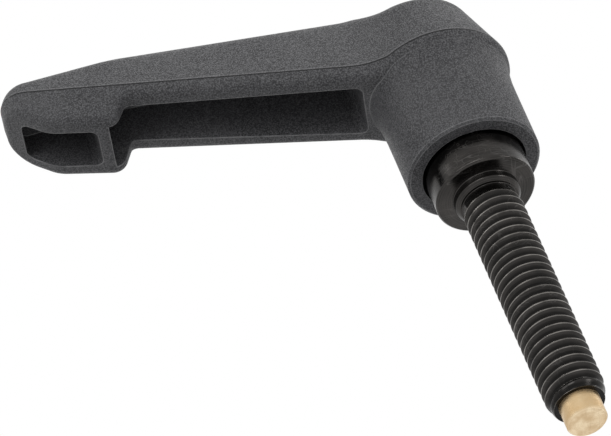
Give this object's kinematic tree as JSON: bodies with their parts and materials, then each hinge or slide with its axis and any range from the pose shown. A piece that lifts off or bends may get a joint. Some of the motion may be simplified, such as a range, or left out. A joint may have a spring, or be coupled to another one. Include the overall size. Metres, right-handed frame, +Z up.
{
  "type": "adjustable clamping lever",
  "caption": "Clamping lever with a raised hollow arm on a toothed hub that lifts against a spring to reset its angle, a threaded stud and a brass thrust tip.",
  "frame": {"origin": "centre of the collar's seat face, on the stud's axis", "axes": "+Z runs up the stud's axis into the hub, so that the stud points along -Z; +X runs along the arm at rest; the outside is symmetric about the XZ plane"},
  "size_m": [0.0487, 0.0148, 0.0598],
  "materials": {
    "moulding": "fine textured dark grey glass-filled moulding",
    "blackened_steel": "glossy black oxide",
    "brass": "turned, lightly scratched",
    "screw_steel": "black oxide",
    "spring_steel": "bright spring wire"
  },
  "bodies": {
    "insert": {"stud_insert": "blackened_steel", "brass_tip": "brass", "retaining_screw": "screw_steel"},
    "spring": {"spring": "spring_steel"},
    "lever": {"lever": "moulding"}
  },
  "joints": [
    {"name": "lever_turn", "type": "hinge", "parent": "insert", "child": "spring", "pos_m": [0, 0, 0.0115], "axis": [0, 0, 1], "continuous": true},
    {"name": "lever_lift", "type": "slide", "parent": "spring", "child": "lever", "axis": [0, 0, 1], "range_m": [0, 0.004], "stiffness_N_per_m": 740, "springref_m": -0.0025, "deforming": ["spring"]}
  ]
}
